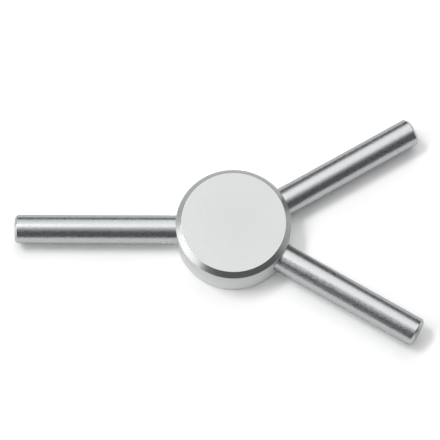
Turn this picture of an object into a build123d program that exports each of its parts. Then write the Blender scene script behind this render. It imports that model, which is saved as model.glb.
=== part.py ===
"""Three-arm radiator bleed key: a turned hub with three round bar arms and a square socket bush.

Frame, in millimetres: the origin is the centre of the socket's mouth, in the plane of the hub's
foot. +Z runs up the hub's axis, away from the vent spindle. The single arm points along -X,
and the pair of arms leaves the hub towards +X, spread evenly to either side of it.
"""

import os
from math import cos, radians, sin, sqrt

from build123d import *

# Hub: a short turned disc that rests on its foot face.
hub_diameter = 24.0
hub_height = 8.5
hub_top_chamfer = 1.1
hub_foot_chamfer = 0.25
hub_edge_break = 0.12

# Arms: plain round bar with chamfered tips. Each reach is from the hub's axis.
arm_diameter = 6.0
single_arm_reach = 45.5
pair_arm_reach = 44.1
pair_half_angle = 30.6
arm_tip_chamfer = 0.5
arm_lead_in = 0.4

# Arm seats: blind holes drilled radially, as deep as the metal that is left inside them allows.
seat_clearance = 0.01
seat_foot_web = 0.7
seat_floor_wall = 1.5
pair_seat_web = 1.2
bond_groove_width = 1.6
bond_groove_depth = 0.2
air_flat_depth = 0.15

# Socket bush: broached right through, then pressed size on size into a blind bore in the foot.
vent_square = 5.0
square_clearance = 0.05
socket_corner_radius = 0.25
socket_lead_in = 0.3
bush_diameter = 10.0
bush_outer_chamfer = 0.3
bush_recess = 0.3
bush_fit_clearance = 0.0
hub_crown_thickness = 2.0
bore_mouth_chamfer = 0.3

# Places and sizes that follow from the values above.
hub_radius = hub_diameter / 2
arm_radius = arm_diameter / 2
bush_radius = bush_diameter / 2
bore_radius = bush_radius + bush_fit_clearance
bore_depth = hub_height - hub_crown_thickness
seat_radius = arm_radius + seat_clearance
arm_axis_height = seat_foot_web + seat_radius
socket_half_width = vent_square / 2 + square_clearance

# The seats stop short of the bush's bore, and the pair's two seats stop short of each other.
seat_floor_past_bore = bore_radius + seat_floor_wall
half_spread = radians(pair_half_angle)
seat_floor_past_pair = (seat_radius * cos(half_spread) + pair_seat_web / 2) / sin(half_spread)
seat_floor = max(seat_floor_past_bore, seat_floor_past_pair)

# Each arm's heading, turned from +X towards +Y, and its reach.
arms = {
    "single_arm": (180.0, single_arm_reach),
    "left_pair_arm": (pair_half_angle, pair_arm_reach),
    "right_pair_arm": (-pair_half_angle, pair_arm_reach),
}


def arm_frame(heading):
    """An arm's own frame: origin on the hub's axis, Z out along the bar and X straight down."""
    angle = radians(heading)
    outward = (cos(angle), sin(angle), 0)
    return Plane(origin=(0, 0, arm_axis_height), x_dir=(0, 0, -1), z_dir=outward)


def turned(outline):
    """A solid of revolution about Z, from an outline of (radius, height) points."""
    with BuildPart() as piece:
        with BuildSketch(Plane.XZ):
            with BuildLine():
                Polyline(*outline, close=True)
            make_face()
        revolve(axis=Axis.Z)
    return piece.part


def make_hub():
    """The turned disc with its rims broken, less the blind bore and the three arm seats."""
    disc = turned(
        [
            (0, 0),
            (hub_radius - hub_foot_chamfer, 0),
            (hub_radius, hub_foot_chamfer),
            (hub_radius, hub_height - hub_top_chamfer),
            (hub_radius - hub_top_chamfer, hub_height),
            (0, hub_height),
        ]
    )
    disc = fillet(disc.edges().filter_by(GeomType.CIRCLE), hub_edge_break)
    disc -= turned(
        [
            (0, 0),
            (bore_radius + bore_mouth_chamfer, 0),
            (bore_radius, bore_mouth_chamfer),
            (bore_radius, bore_depth),
            (0, bore_depth),
        ]
    )
    drill = Pos(0, 0, seat_floor) * Cylinder(
        seat_radius, hub_radius, align=(Align.CENTER, Align.CENTER, Align.MIN)
    )
    for heading, _ in arms.values():
        disc -= arm_frame(heading).location * drill
    return disc


def make_arm(heading, reach):
    """One bar: a chamfered tip, and a bonded end with a lead-in, a bond groove and an air flat."""
    groove_middle = (seat_floor + hub_radius) / 2
    groove_inner = groove_middle - bond_groove_width / 2
    groove_outer = groove_middle + bond_groove_width / 2
    groove_radius = arm_radius - bond_groove_depth
    bar = turned(
        [
            (0, seat_floor),
            (arm_radius - arm_lead_in, seat_floor),
            (arm_radius, seat_floor + arm_lead_in),
            (arm_radius, groove_inner),
            (groove_radius, groove_inner + bond_groove_depth),
            (groove_radius, groove_outer - bond_groove_depth),
            (arm_radius, groove_outer),
            (arm_radius, reach - arm_tip_chamfer),
            (arm_radius - arm_tip_chamfer, reach),
            (0, reach),
        ]
    )

    # The flat lets air out of the blind seat as far as the groove. It never reaches the hub's wall.
    flat_cutter = Box(
        arm_radius,
        arm_diameter,
        groove_middle - seat_floor,
        align=(Align.MIN, Align.CENTER, Align.MIN),
    )
    bar -= Pos(arm_radius - air_flat_depth, 0, seat_floor) * flat_cutter
    return arm_frame(heading).location * bar


def make_socket_bush():
    """The bush: a square hole broached right through, with a conical lead-in at each end."""
    bush = turned(
        [
            (0, bush_recess),
            (bush_radius - bush_outer_chamfer, bush_recess),
            (bush_radius, bush_recess + bush_outer_chamfer),
            (bush_radius, bore_depth - bush_outer_chamfer),
            (bush_radius - bush_outer_chamfer, bore_depth),
            (0, bore_depth),
        ]
    )
    with BuildPart() as square:
        with BuildSketch(Plane.XY.offset(bush_recess)):
            socket_width = 2 * socket_half_width
            RectangleRounded(socket_width, socket_width, socket_corner_radius)
        extrude(amount=bore_depth - bush_recess)
    bush -= square.part

    # Each lead-in takes in the square's corners, so its rim is sized from the square's diagonal.
    corner_centre = socket_half_width - socket_corner_radius
    rim_radius = corner_centre * sqrt(2) + socket_corner_radius + socket_lead_in
    for face_height, inward in ((bush_recess, 1), (bore_depth, -1)):
        bush -= turned(
            [
                (0, face_height),
                (rim_radius, face_height),
                (0, face_height + inward * rim_radius),
            ]
        )
    return bush


def write(name, shape):
    """One sub-part to one STEP file, named after its node."""
    export_step(shape, os.path.join("parts", name + ".step"))


def main():
    os.makedirs("parts", exist_ok=True)
    write("hub", make_hub())
    write("socket_bush", make_socket_bush())
    for name, (heading, reach) in arms.items():
        write(name, make_arm(heading, reach))


main()
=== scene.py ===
from math import radians

import bpy
import numpy as np
from mathutils import Matrix, Vector


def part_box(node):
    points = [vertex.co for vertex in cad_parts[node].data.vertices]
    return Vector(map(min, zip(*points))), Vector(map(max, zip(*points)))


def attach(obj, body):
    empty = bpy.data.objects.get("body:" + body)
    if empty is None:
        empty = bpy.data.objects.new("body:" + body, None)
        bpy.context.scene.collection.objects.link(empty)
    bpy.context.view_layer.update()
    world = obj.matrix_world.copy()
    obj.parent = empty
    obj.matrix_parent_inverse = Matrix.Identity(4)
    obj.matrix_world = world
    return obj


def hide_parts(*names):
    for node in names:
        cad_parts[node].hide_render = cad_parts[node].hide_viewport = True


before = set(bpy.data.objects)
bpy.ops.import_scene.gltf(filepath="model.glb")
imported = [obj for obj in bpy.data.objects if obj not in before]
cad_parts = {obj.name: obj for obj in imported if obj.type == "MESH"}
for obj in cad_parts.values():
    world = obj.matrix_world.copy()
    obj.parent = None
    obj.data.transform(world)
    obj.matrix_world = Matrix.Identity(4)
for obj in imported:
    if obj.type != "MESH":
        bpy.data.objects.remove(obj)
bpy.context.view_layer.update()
mm = 0.001
print("frame loaded:", ", ".join(sorted(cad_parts)))


# Mesh helpers: every surface is a grid of points, rows by columns, worked out as whole arrays

def roundedOutline(corners, radii, arcSteps=6, guard=0.05 * mm):
    # Each corner becomes the arc of its radius that touches both runs: the arc starts at
    # radius / tan(half angle) from the corner, and its points are centre + radius * (cos, sin) of evenly
    # spread angles. One guard point stands on the run just before and just after each arc, which keeps
    # the flats flat in shading.
    corners = np.asarray(corners, float)
    points = [corners[0]]
    for before, corner, after, radius in zip(corners[:-2], corners[1:-1], corners[2:], radii):
        toBefore = (before - corner) / np.linalg.norm(before - corner)
        toAfter = (after - corner) / np.linalg.norm(after - corner)
        if radius == 0:
            points.append(corner)
            continue
        half = np.arccos(np.clip(toBefore @ toAfter, -1, 1)) / 2
        reach = radius / np.tan(half)
        middle = (toBefore + toAfter) / np.linalg.norm(toBefore + toAfter)
        centre = corner + middle * radius / np.sin(half)
        start = corner + toBefore * reach - centre
        end = corner + toAfter * reach - centre
        sweep = np.pi - 2 * half
        share = np.linspace(0, 1, arcSteps + 1)[:, None]
        arc = centre + (start * np.sin((1 - share) * sweep) + end * np.sin(share * sweep)) / np.sin(sweep)
        points.append(corner + toBefore * (reach + guard))
        points.extend(arc)
        points.append(corner + toAfter * (reach + guard))
    points.append(corners[-1])
    return np.array(points)


def revolved(outline, angles):
    # A point of the outline at (radius, height) goes to (radius cos a, radius sin a, height) for each angle a
    radius, height = outline[:, 0, None], outline[:, 1, None]
    flat = np.ones_like(angles)[None, :]
    return np.stack([radius * np.cos(angles), radius * np.sin(angles), height * flat], axis=-1)


def cells(grid, wrapRows=False, wrapColumns=False):
    # The four corners of each cell of a grid: row i and i + 1, column j and j + 1, with the last joined
    # to the first where the grid wraps round. Returns corner indices and their (row, column) places for UVs.
    rows, columns = grid.shape[:2]
    i, j = np.meshgrid(
        np.arange(rows if wrapRows else rows - 1),
        np.arange(columns if wrapColumns else columns - 1),
        indexing="ij",
    )
    i, j = i.ravel(), j.ravel()
    cornerRows = np.stack([i, i + 1, i + 1, i], axis=1)
    cornerColumns = np.stack([j, j, j + 1, j + 1], axis=1)
    index = (cornerRows % rows) * columns + cornerColumns % columns
    return index, np.stack([cornerColumns / columns, cornerRows / rows], axis=-1)


def meshFromGrids(name, grids, wear, weldAt=1e-8):
    # Grids is a list of (points, wrapRows, wrapColumns). All cells are joined, points nearer than weldAt
    # become one, cells that lose a corner at a pole become triangles, and the whole shell is flipped if
    # six times its volume, the sum of a . (b x c) over its triangles, comes out negative.
    points = np.concatenate([grid.reshape(-1, 3) for grid, _, _ in grids])
    offsets = np.cumsum([0] + [grid.shape[0] * grid.shape[1] for grid, _, _ in grids])
    parts = [cells(*entry) for entry in grids]
    faces = np.concatenate([index + offset for (index, _), offset in zip(parts, offsets)])
    places = np.concatenate([uv for _, uv in parts])

    _, first, same = np.unique(np.round(points / weldAt).astype(np.int64), axis=0,
                               return_index=True, return_inverse=True)
    faces = same.ravel()[faces]
    points = points[first]
    a, b, c, d = (points[faces[:, corner]] for corner in range(4))
    sixfold = np.einsum("ij,ij->", a, np.cross(b, c)) + np.einsum("ij,ij->", a, np.cross(c, d))
    if sixfold < 0:
        faces, places = faces[:, ::-1], places[:, ::-1]

    keep = faces != np.roll(faces, 1, axis=1)  # a corner equal to the one before it is dropped
    keep[(keep.sum(1) < 3)] = False
    total = keep.sum(1)
    total = total[total > 0]
    loops, uv = faces[keep], places[keep]

    mesh = bpy.data.meshes.new(name)
    mesh.vertices.add(len(points))
    mesh.vertices.foreach_set("co", points.astype(np.float32).ravel())
    mesh.loops.add(len(loops))
    mesh.loops.foreach_set("vertex_index", loops.astype(np.int32))
    mesh.polygons.add(len(total))
    mesh.polygons.foreach_set("loop_start", (np.cumsum(total) - total).astype(np.int32))
    mesh.uv_layers.new(name="surface").data.foreach_set("uv", uv.astype(np.float32).ravel())
    mesh.update(calc_edges=True)
    mesh.polygons.foreach_set("use_smooth", np.ones(len(total), bool))
    worn = mesh.attributes.new("wear", "FLOAT", "POINT")
    worn.data.foreach_set("value", wear(points).astype(np.float32))
    mesh.validate()
    made = bpy.data.objects.new(name, mesh)
    bpy.context.scene.collection.objects.link(made)
    print(name, len(points), "points,", len(total), "faces")
    return made


def nearEdges(distances, reach):
    # Wear falls off from each edge as exp(-distance / reach), and the nearest edge counts
    return np.exp(-np.min(np.abs(distances), axis=0) / reach)


# Sizes that every piece reads from the frame

hubLow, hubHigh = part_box("hub")
bushLow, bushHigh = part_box("socket_bush")
armLow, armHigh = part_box("single_arm")
hubRadius = (hubHigh.x - hubLow.x) / 2
hubHeight = hubHigh.z - hubLow.z
armRadius = (armHigh.z - armLow.z) / 2
armAxisHeight = (armHigh.z + armLow.z) / 2
seatFloor = -armHigh.x
bushRadius = (bushHigh.x - bushLow.x) / 2
pair = {"halfAngle": radians(30.6), "reach": 44.1 * mm}
armHeadings = {"single_arm": np.pi, "left_pair_arm": pair["halfAngle"], "right_pair_arm": -pair["halfAngle"]}
armReach = {"single_arm": -armLow.x, "left_pair_arm": pair["reach"], "right_pair_arm": pair["reach"]}


# Hub

hub = {
    "topChamfer": 1.1 * mm,
    "footChamfer": 0.25 * mm,
    "edgeRound": 0.12 * mm,
    "boreMouth": 0.3 * mm,
    "boreRound": 0.05 * mm,
    "mouthRound": 0.1 * mm,
    "patchMargin": 0.06 * mm,
    "seatClearance": 0.02 * mm,
    "patchHalfAngle": radians(20),
    "columnsPerPatch": 36,
    "rowsPerPatch": 32,
    "ringsToMouth": 12,
    "ringEasing": 1.6,
    "ringsRoundMouth": 6,
    "ringsDownSeat": 5,
    "ringsOverFloor": 4,
    "columnStep": radians(1.25),
    "wearReach": 0.1 * mm,
}


def hubColumns():
    # Angles round the hub: even steps across each arm's patch of wall, and across the spans between patches
    edges = sorted((heading % (2 * np.pi)) + side * hub["patchHalfAngle"]
                   for heading in armHeadings.values() for side in (-1, 1))
    edges = np.array(edges + [edges[0] + 2 * np.pi])
    spans = []
    for start, end in zip(edges[:-1], edges[1:]):
        patch = np.isclose(end - start, 2 * hub["patchHalfAngle"])
        steps = hub["columnsPerPatch"] if patch else int(round((end - start) / hub["columnStep"]))
        spans.append((patch, np.linspace(start, end, steps + 1)))
    return spans


def seatPatch(heading, low, high):
    # One patch of wall with its arm seat. Its rows run from the patch's rectangle, measured along the wall
    # as (arc, height), to the seat's mouth, round the mouth's edge, down the seat and over its floor. Its
    # columns run round the arm's axis. On the wall (arc, height) stands at angle heading + arc / hubRadius.
    # In the seat, a point at radius p and angle b is p cos b sideways, p sin b up, and out along the arm by
    # sqrt(hubRadius^2 - (p cos b)^2), which is where a bore of radius p meets the wall.
    halfArc = hub["patchHalfAngle"] * hubRadius
    across, up = hub["columnsPerPatch"], hub["rowsPerPatch"]
    alongTop = np.linspace(-halfArc, halfArc, across, endpoint=False)
    downSide = np.linspace(high, low, up, endpoint=False)
    arc = np.concatenate([alongTop, np.full(up, halfArc), -alongTop, np.full(up, -halfArc)])
    height = np.concatenate([np.full(across, high), downSide, np.full(across, low), low + high - downSide])
    angle = np.arctan2(height, arc)

    seatRadius = armRadius + hub["seatClearance"]
    rim = seatRadius + hub["mouthRound"]
    share = (1 - (1 - np.linspace(0, 1, hub["ringsToMouth"])) ** hub["ringEasing"])[:, None]
    rimArc = hubRadius * np.arcsin(rim * np.cos(angle) / hubRadius)
    wallArc = (1 - share) * arc + share * rimArc
    wallHeight = (1 - share) * height + share * rim * np.sin(angle)
    side = hubRadius * np.sin(wallArc / hubRadius)
    out = hubRadius * np.cos(wallArc / hubRadius)

    turn = np.linspace(0, np.pi / 2, hub["ringsRoundMouth"])[1:, None]
    radius = seatRadius + hub["mouthRound"] * (1 - np.sin(turn))
    seatSide = radius * np.cos(angle)
    seatUp = radius * np.sin(angle)
    seatOut = np.sqrt(hubRadius ** 2 - seatSide ** 2) - hub["mouthRound"] * (1 - np.cos(turn))
    depth = np.linspace(0, 1, hub["ringsDownSeat"])[1:, None]
    boreSide = np.repeat(seatSide[-1:], len(depth), axis=0)
    boreUp = np.repeat(seatUp[-1:], len(depth), axis=0)
    boreOut = seatOut[-1:] + (seatFloor - seatOut[-1:]) * depth
    inward = 1 - np.linspace(0, 1, hub["ringsOverFloor"])[1:, None]
    floorSide, floorUp = seatSide[-1:] * inward, seatUp[-1:] * inward
    floorOut = np.full(floorSide.shape, seatFloor)

    side = np.concatenate([side, seatSide, boreSide, floorSide])
    up = np.concatenate([wallHeight, seatUp, boreUp, floorUp])
    out = np.concatenate([out, seatOut, boreOut, floorOut])
    return np.stack([out * np.cos(heading) - side * np.sin(heading),
                     out * np.sin(heading) + side * np.cos(heading),
                     armAxisHeight + up], axis=-1)


def hubWear(points):
    # Distances to the rim circles, each worked out in the plane of (radius from the axis, height),
    # and to the line where each seat of radius p breaks the wall
    radius, height = np.hypot(points[:, 0], points[:, 1]), points[:, 2]
    rims = [(hubRadius - hub["topChamfer"], hubHeight), (hubRadius, hubHeight - hub["topChamfer"]),
            (hubRadius, hub["footChamfer"]), (hubRadius - hub["footChamfer"], 0)]
    distances = [np.hypot(radius - r, height - z) for r, z in rims]
    for heading in armHeadings.values():
        out = points[:, 0] * np.cos(heading) + points[:, 1] * np.sin(heading)
        side = points[:, 1] * np.cos(heading) - points[:, 0] * np.sin(heading)
        away = np.hypot(side, height - armAxisHeight) - armRadius
        distances.append(np.where(out > seatFloor, np.hypot(away, radius - hubRadius), 1))
    return nearEdges(distances, hub["wearReach"])


def makeHub():
    boreRadius = bushRadius
    rounding = hub["edgeRound"]
    cut = rounding * np.tan(radians(22.5)) + hub["patchMargin"]  # past each rim's arc and guard point
    wallTop = hubHeight - hub["topChamfer"] - cut
    wallFoot = hub["footChamfer"] + cut
    crown = roundedOutline(
        [(0, hubHeight), (hubRadius - hub["topChamfer"], hubHeight),
         (hubRadius, hubHeight - hub["topChamfer"]), (hubRadius, wallTop)],
        [rounding, rounding],
    )
    foot = roundedOutline(
        [(hubRadius, wallFoot), (hubRadius, hub["footChamfer"]), (hubRadius - hub["footChamfer"], 0),
         (boreRadius + hub["boreMouth"], 0), (boreRadius, hub["boreMouth"]),
         (boreRadius, bushHigh.z), (0, bushHigh.z)],
        [rounding, rounding] + [hub["boreRound"]] * 3,
    )
    spans = hubColumns()
    angles = np.concatenate([columns[:-1] for _, columns in spans])
    grids = [(revolved(crown, angles), False, True), (revolved(foot, angles), False, True)]
    for isPatch, columns in spans:
        if isPatch:
            heading = (columns[0] + columns[-1]) / 2
            grids.append((seatPatch(heading, wallFoot - armAxisHeight, wallTop - armAxisHeight), False, True))
        else:
            heights = np.linspace(wallTop, wallFoot, hub["rowsPerPatch"] + 1)
            strip = np.stack([np.full_like(heights, hubRadius), heights], axis=-1)
            grids.append((revolved(strip, columns), False, False))
    return meshFromGrids("hubBody", grids, hubWear)


# Arms

arm = {
    "tipChamfer": 0.5 * mm,
    "tipRound": 0.08 * mm,
    "leadIn": 0.4 * mm,
    "seatRound": 0.05 * mm,
    "grooveWidth": 1.6 * mm,
    "grooveDepth": 0.2 * mm,
    "airFlat": 0.15 * mm,
    "columns": 128,
    "bodyRows": 40,
    "wearReach": 0.08 * mm,
}


def armPlaced(local, heading):
    # Local x, y and z are sideways, up and out along the bar: out goes to the heading, sideways to its left
    side, up, out = local[..., 0], local[..., 1], local[..., 2]
    return np.stack([out * np.cos(heading) - side * np.sin(heading),
                     out * np.sin(heading) + side * np.cos(heading),
                     armAxisHeight + up], axis=-1)


def makeArm(name, heading, reach):
    # The bar's outline of (radius, distance from the hub's axis), revolved round the bar's own axis.
    # The air flat caps how far down a point may lie between the seat's floor and the middle of the groove.
    middle = (seatFloor + hubRadius) / 2
    halfGroove = arm["grooveWidth"] / 2
    shallow = armRadius - arm["grooveDepth"]
    outline = roundedOutline(
        [(0, seatFloor), (armRadius - arm["leadIn"], seatFloor), (armRadius, seatFloor + arm["leadIn"]),
         (armRadius, middle - halfGroove), (shallow, middle - halfGroove + arm["grooveDepth"]),
         (shallow, middle + halfGroove - arm["grooveDepth"]), (armRadius, middle + halfGroove),
         (armRadius, reach - arm["tipChamfer"]), (armRadius - arm["tipChamfer"], reach), (0, reach)],
        [arm["seatRound"]] * 6 + [arm["tipRound"]] * 2,
    )
    longRun = int(np.argmax(np.diff(outline[:, 1])))
    body = np.linspace(outline[longRun], outline[longRun + 1], arm["bodyRows"])[1:-1]
    outline = np.concatenate([outline[:longRun + 1], body, outline[longRun + 1:]])
    around = np.linspace(0, 2 * np.pi, arm["columns"], endpoint=False)
    local = revolved(outline, around)
    inSeat = local[..., 2] < middle
    local[..., 1] = np.where(inSeat, np.maximum(local[..., 1], arm["airFlat"] - armRadius), local[..., 1])

    def armWear(points):
        out = points[:, 0] * np.cos(heading) + points[:, 1] * np.sin(heading)
        side = points[:, 1] * np.cos(heading) - points[:, 0] * np.sin(heading)
        radius = np.hypot(side, points[:, 2] - armAxisHeight)
        rims = [(armRadius, reach - arm["tipChamfer"]), (armRadius - arm["tipChamfer"], reach)]
        return nearEdges([np.hypot(radius - r, out - s) for r, s in rims], arm["wearReach"])

    return meshFromGrids(name, [(armPlaced(local, heading), False, True)], armWear)


# Socket bush

bush = {
    "halfSquare": 2.55 * mm,
    "cornerRadius": 0.25 * mm,
    "leadIn": 0.3 * mm,
    "outerChamfer": 0.3 * mm,
    "edgeRound": 0.06 * mm,
    "mouthFlat": 0.03 * mm,
    "mouthBreak": 0.02 * mm,
    "coneShares": (0.33, 0.66, 0.97),
    "rimFlat": 0.1 * mm,
    "wallRows": 10,
    "columnsPerSide": 40,
    "wearReach": 0.12 * mm,
}


def squareReach(angles):
    # Distance from the axis to a square of half width h with corners of radius c. On a flat it is
    # h / max(|cos|, |sin|); in a corner the ray meets the circle of radius c about (h - c, h - c).
    h, c = bush["halfSquare"], bush["cornerRadius"]
    low = np.minimum(np.abs(np.cos(angles)), np.abs(np.sin(angles)))
    high = np.maximum(np.abs(np.cos(angles)), np.abs(np.sin(angles)))
    inCorner = h * low / high > h - c
    root = np.sqrt(np.maximum(c ** 2 - ((h - c) * (high - low)) ** 2, 0))
    return np.where(inCorner, (h - c) * (low + high) + root, h / high)


def makeBush():
    # Columns run round the axis, evenly spaced along each side of the square: angle = quarter turn * k +
    # arctan(share), with the share from -1 to 1. Rows run down the outside, in across the foot, up the square
    # hole and out across the top. Each lead-in is a 45 degree cone, so the square's wall starts
    # (rim radius - reach of the square) inside each face.
    half = np.arctan(np.linspace(-1, 1, bush["columnsPerSide"] + 1))[:-1]
    angles = np.concatenate([quarter * np.pi / 2 + half for quarter in range(4)])
    corner = bush["halfSquare"] - bush["cornerRadius"]
    rimRadius = corner * np.sqrt(2) + bush["cornerRadius"] + bush["leadIn"]
    outline = roundedOutline(
        [(rimRadius + bush["rimFlat"], bushHigh.z), (bushRadius - bush["outerChamfer"], bushHigh.z),
         (bushRadius, bushHigh.z - bush["outerChamfer"]), (bushRadius, bushLow.z + bush["outerChamfer"]),
         (bushRadius - bush["outerChamfer"], bushLow.z), (rimRadius + bush["rimFlat"], bushLow.z)],
        [bush["edgeRound"]] * 4,
    )
    outside = revolved(outline, angles)
    reach = squareReach(angles)

    def ring(radius, height):
        return np.stack([radius * np.cos(angles), radius * np.sin(angles), height + 0 * angles], axis=-1)

    rows = []
    beside, within = bush["mouthFlat"], bush["mouthBreak"]
    coneDepth = rimRadius - reach
    for face, inward in ((bushLow.z, 1), (bushHigh.z, -1)):
        mouth = [ring(rimRadius + beside, face), ring(rimRadius - within, face + inward * within)]
        for share in bush["coneShares"]:
            mouth.append(ring(rimRadius - share * coneDepth, face + inward * share * coneDepth))
        mouth.append(ring(reach, face + inward * (coneDepth + beside)))
        rows.append(mouth if inward == 1 else mouth[::-1])
    wallStart, wallEnd = rows[0][-1], rows[1][0]
    wall = [wallStart + (wallEnd - wallStart) * share for share in np.linspace(0, 1, bush["wallRows"])[1:-1]]
    inside = np.stack(rows[0] + wall + rows[1])

    def bushWear(points):
        around = np.arctan2(points[:, 1], points[:, 0])
        edge = squareReach(around)
        radius = np.hypot(points[:, 0], points[:, 1])
        depth = rimRadius - edge
        distances = [np.hypot(radius - rimRadius, points[:, 2] - bushLow.z),
                     np.hypot(radius - edge, points[:, 2] - bushLow.z - depth),
                     np.hypot(radius - bushRadius, points[:, 2] - bushLow.z - bush["outerChamfer"])]
        return nearEdges(distances, bush["wearReach"])

    return meshFromGrids("socketBush", [(np.concatenate([outside, inside]), True, True)], bushWear)


# Materials

class Graph:
    # A thin wrapper that makes a node, sets its values and links its inputs in one line
    def __init__(self, name):
        self.material = bpy.data.materials.new(name)
        self.material.use_nodes = True
        self.tree = self.material.node_tree
        self.tree.nodes.clear()

    def node(self, kind, settings=None, **inputs):
        made = self.tree.nodes.new("ShaderNode" + kind)
        for key, value in (settings or {}).items():
            setattr(made, key, value)
        for key, value in inputs.items():
            socket = made.inputs[int(key[1:]) if key[0] == "_" else key.replace("_", " ")]
            if isinstance(value, bpy.types.NodeSocket):
                self.tree.links.new(value, socket)
            else:
                socket.default_value = value
        return made

    def math(self, operation, *values, clamp=False):
        inputs = {"_" + str(number): value for number, value in enumerate(values)}
        return self.node("Math", {"operation": operation, "use_clamp": clamp}, **inputs).outputs[0]

    def ramp(self, value, start, end, low=0.0, high=1.0):
        limits = {"From_Min": start, "From_Max": end, "To_Min": low, "To_Max": high}
        return self.node("MapRange", Value=value, **limits).outputs[0]


satin = {
    "hub": {
        "colour": (0.426, 0.430, 0.431), "colourSpread": 0.04, "wearGain": 0.10, "edgeTint": 0.68,
        "roughness": 0.29, "roughSpread": 0.05, "wearPolish": 0.08,
        # the wall's two colour gains are painted light: a painted reflection of a bright floor on the wall,
        # rising towards the foot to cancel the floor's shade
        "rimRoughness": 0.35, "wallRoughness": 0.60, "wallPaintedLight": 1.42, "footPaintedLight": 0.42,
        "cloudPerMetre": 260, "grainPerMetre": 9000, "grainDepth": 0.9e-6,
        "mottlePerMetre": 3200, "mottleDepth": 1.6e-6, "mottleRough": 0.06, "mottleStretch": 1.0,
        "linesPerMetre": 14000, "lineDepth": 0.5e-6,
    },
    "arm": {
        "colour": (0.464, 0.478, 0.486), "colourSpread": 0.05, "wearGain": 0.10, "edgeTint": 0.68,
        "roughness": 0.30, "roughSpread": 0.05, "wearPolish": 0.06,
        "cloudPerMetre": 260, "grainPerMetre": 9000, "grainDepth": 0.9e-6,
        "mottlePerMetre": 3400, "mottleDepth": 2.4e-6, "mottleRough": 0.14, "mottleStretch": 0.4,
        "linesPerMetre": 7000, "lineDepth": 0.8e-6,
    },
    "bush": {
        "colour": (0.210, 0.206, 0.202), "colourSpread": 0.16, "wearGain": 0.16, "edgeTint": 0.75,
        "roughness": 0.34, "roughSpread": 0.10, "wearPolish": 0.10,
        "cloudPerMetre": 260, "grainPerMetre": 7000, "grainDepth": 1.2e-6,
        "mottlePerMetre": 2600, "mottleDepth": 1.6e-6, "mottleRough": 0.10, "mottleStretch": 1.0,
        "linesPerMetre": 9000, "lineDepth": 1.5e-6,
    },
}


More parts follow.
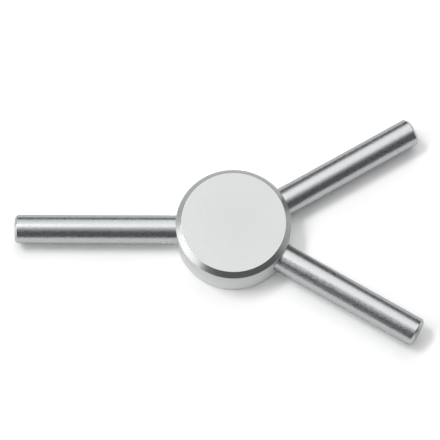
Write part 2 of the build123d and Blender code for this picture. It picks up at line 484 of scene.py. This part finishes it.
def satinMetal(name, values, marks, heading=0.0):
    # Satin metal: fine grain, a coarser mottle left by polishing, and the maker's marks. Marks are "turned"
    # (rings and wall lines from one coordinate, distance from the axis minus height), "drawn" (streaks along
    # the bar) or "broached" (lines along Z). Each layer is centred on 0 before it is scaled and added.
    g = Graph(name)
    place = g.node("TexCoord").outputs["Object"]
    alongBar = g.node("Mapping", Vector=place, Rotation=(0.0, 0.0, -heading)).outputs[0]

    def layer(vector, perMetre, detail, dimensions="3D"):
        source = {"W": vector} if dimensions == "1D" else {"Vector": vector}
        noise = g.node("TexNoise", {"noise_dimensions": dimensions}, Scale=perMetre, Detail=detail,
                       Roughness=0.6, **source)
        return g.math("SUBTRACT", noise.outputs["Fac"], 0.5)

    grain = layer(place, values["grainPerMetre"], 2.0)
    cloud = layer(place, values["cloudPerMetre"], 3.0)
    drawnOut = g.node("Mapping", Vector=alongBar, Scale=(values["mottleStretch"], 1.0, 1.0)).outputs[0]
    mottle = layer(drawnOut, values["mottlePerMetre"], 3.0)
    wear = g.node("Attribute", {"attribute_name": "wear"}).outputs["Fac"]
    baseRough, gain = values["roughness"], 1.0
    if marks == "turned":
        split = g.node("SeparateXYZ", Vector=place)
        flat = g.node("CombineXYZ", X=split.outputs["X"], Y=split.outputs["Y"]).outputs[0]
        fromAxis = g.node("VectorMath", {"operation": "LENGTH"}, _0=flat).outputs["Value"]
        lines = layer(g.math("SUBTRACT", fromAxis, split.outputs["Z"]), values["linesPerMetre"], 3.0, "1D")
        # the rim is rougher than the face and the wall rougher still. The wall's colour is raised as painted
        # light, a painted reflection of a bright floor, and raised more towards its foot as painted light
        # that cancels the floor's shade there
        rimStart = hubRadius - hub["topChamfer"]
        wallStart = hubRadius - 0.1 * mm
        onRim = g.ramp(fromAxis, rimStart - 0.05 * mm, rimStart + 0.05 * mm)
        onWall = g.ramp(fromAxis, wallStart, wallStart + 0.08 * mm)
        rimStep = values["rimRoughness"] - values["roughness"]
        wallStep = values["wallRoughness"] - values["rimRoughness"]
        baseRough = g.math("MULTIPLY_ADD", onRim, rimStep, values["roughness"])
        baseRough = g.math("MULTIPLY_ADD", onWall, wallStep, baseRough)
        wallPaintedLift = values["wallPaintedLight"] - 1.0
        paintedWallLight = g.ramp(split.outputs["Z"], hubHeight, 0.0, wallPaintedLift, wallPaintedLift + values["footPaintedLight"])
        gain = g.math("MULTIPLY_ADD", onWall, paintedWallLight, 1.0)
    else:
        stretch = (0.02, 1.0, 1.0) if marks == "drawn" else (1.0, 1.0, 0.02)
        squeezed = g.node("Mapping", Vector=alongBar, Scale=stretch).outputs[0]
        lines = layer(squeezed, values["linesPerMetre"], 3.0)

    uneven = g.math("ADD", cloud, g.math("ADD", lines, mottle))
    lift = g.math("MULTIPLY_ADD", uneven, values["colourSpread"], gain)
    lift = g.math("MULTIPLY_ADD", wear, values["wearGain"], lift)
    colour = g.node("VectorMath", {"operation": "SCALE"}, _0=values["colour"], Scale=lift).outputs["Vector"]

    rough = g.math("MULTIPLY_ADD", g.math("ADD", cloud, lines), values["roughSpread"], baseRough)
    rough = g.math("MULTIPLY_ADD", mottle, values["mottleRough"] * 2, rough)
    rough = g.math("MULTIPLY_ADD", wear, -values["wearPolish"], rough, clamp=True)

    height = g.math("MULTIPLY", grain, values["grainDepth"])
    height = g.math("MULTIPLY_ADD", mottle, values["mottleDepth"], height)
    height = g.math("MULTIPLY_ADD", lines, values["lineDepth"], height)
    bump = g.node("Bump", Height=height, Distance=1.0, Strength=1.0).outputs["Normal"]

    shader = g.node("BsdfPrincipled", Base_Color=colour, Roughness=rough, Normal=bump, Metallic=1.0,
                    Specular_Tint=(values["edgeTint"],) * 3 + (1.0,))
    g.node("OutputMaterial", Surface=shader.outputs["BSDF"])
    return g.material


def dressed(piece, node, material):
    # A finished piece gets its material, takes its node's place and rides on the key's one rigid body
    piece.data.materials.append(material)
    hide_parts(node)
    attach(piece, "root")
    return piece


dressed(makeHub(), "hub", satinMetal("satinTurned", satin["hub"], "turned"))
dressed(makeBush(), "socket_bush", satinMetal("hardenedBroached", satin["bush"], "broached"))
for node, heading in armHeadings.items():
    pieceName = "bar_" + node
    dressed(makeArm(pieceName, heading, armReach[node]), node,
            satinMetal("satinDrawn_" + node, satin["arm"], "drawn", heading))
print("pieces made and dressed")


# Floor, lights and camera

studio = {
    "floorSize": 6.0,
    "floorColour": 0.96,
    # for the rays that see the floor: more of the same white, and a little light of its own
    "floorSeen": 0.18,
    "floorLift": 0.02,
    "worldColour": (0.119, 0.120, 0.123),
    # flat softboxes side by side overhead, graded towards the front: (name, low y, high y, radiance)
    "overheadHeight": 0.8, "overheadLeft": -0.23, "overheadRight": 0.451,
    "overhead": [
        ("overheadSoftbox", -0.048, 1.661, 1.57),
        ("frontStrip", -0.25, -0.048, 0.62),
        ("farFrontStrip", -0.453, -0.25, 0.44),
    ],
    # panels round the key, facing it: (name, bearing, elevation, distance, width, height, radiance)
    "panels": [
        ("keySoftbox", 161.4, 63.6, 1.2, 0.43, 0.192, 18.7),
        ("fillSoftbox", 198.6, 52.3, 1.2, 0.53, 0.24, 4.0),
        ("leftCard", 193.7, 9.2, 1.0, 1.148, 0.342, 3.0),
        ("rightCard", 11.5, 13.0, 1.0, 1.00, 0.50, 0.45),
    ],
}


def makeFloor():
    half = studio["floorSize"] / 2
    mesh = bpy.data.meshes.new("floor")
    corners = [(-half, -half, 0), (half, -half, 0), (half, half, 0), (-half, half, 0)]
    mesh.from_pydata(corners, [], [(0, 1, 2, 3)])
    floor = bpy.data.objects.new("floor", mesh)
    bpy.context.scene.collection.objects.link(floor)
    g = Graph("paleFloor")
    rays = g.node("LightPath").outputs
    seen = g.math("MAXIMUM", rays["Is Camera Ray"], rays["Is Glossy Ray"])
    seen = g.math("MAXIMUM", seen, rays["Is Transmission Ray"])
    white = g.math("MULTIPLY_ADD", seen, studio["floorSeen"], studio["floorColour"])
    paper = g.node("CombineColor", Red=white, Green=white, Blue=white).outputs[0]
    matt = g.node("BsdfDiffuse", Color=paper).outputs[0]
    glow = g.node("Emission", Strength=g.math("MULTIPLY", seen, studio["floorLift"])).outputs[0]
    g.node("OutputMaterial", Surface=g.node("AddShader", _0=matt, _1=glow).outputs[0])
    mesh.materials.append(g.material)


def panel(name, centre, facing, width, height, radiance):
    # A flat lamp of the given radiance: its power is radiance * pi * area
    light = bpy.data.lights.new(name, "AREA")
    light.shape = "RECTANGLE"
    light.size, light.size_y = width, height
    light.energy = radiance * np.pi * width * height
    lamp = bpy.data.objects.new(name, light)
    lamp.location = centre
    lamp.rotation_euler = Vector(facing).to_track_quat("-Z", "Y").to_euler()
    bpy.context.scene.collection.objects.link(lamp)
    return lamp


def makeLights():
    left, right = studio["overheadLeft"], studio["overheadRight"]
    for name, front, rear, radiance in studio["overhead"]:
        centre = ((left + right) / 2, (front + rear) / 2, studio["overheadHeight"])
        panel(name, centre, (0, 0, -1), right - left, rear - front, radiance)
    for name, bearing, elevation, distance, width, height, radiance in studio["panels"]:
        turn, tilt = radians(bearing), radians(elevation)
        outward = np.array([np.cos(tilt) * np.cos(turn), np.cos(tilt) * np.sin(turn), np.sin(tilt)])
        panel(name, outward * distance, -outward, width, height, radiance)
    world = bpy.data.worlds.new("studio")
    world.use_nodes = True
    world.node_tree.nodes["Background"].inputs["Color"].default_value = (*studio["worldColour"], 1.0)
    bpy.context.scene.world = world


shot = {
    "fromTop": (-0.00957, -0.34140, 0.93987),  # from the hub's top face towards the camera
    "distance": 0.41356,
    "focal": 163.6,
    "shift": (-0.03086, 0.00457),
}


def makeCamera():
    # The camera looks at the middle of the hub's top face with +Y up in the picture
    back = Vector(shot["fromTop"]).normalized()
    right = Vector((0, 1, 0)).cross(back).normalized()
    up = back.cross(right)
    data = bpy.data.cameras.new("camera")
    data.lens = shot["focal"]
    data.sensor_width = 36.0
    data.shift_x, data.shift_y = shot["shift"]
    data.clip_start = 0.01
    camera = bpy.data.objects.new("camera", data)
    turn = Matrix((right, up, back)).transposed().to_4x4()
    camera.matrix_world = Matrix.Translation(Vector((0, 0, hubHeight)) + back * shot["distance"]) @ turn
    bpy.context.scene.collection.objects.link(camera)
    bpy.context.scene.camera = camera


makeFloor()
makeLights()
makeCamera()
bpy.context.scene.view_settings.view_transform = "Standard"
print("floor, lights and camera set")
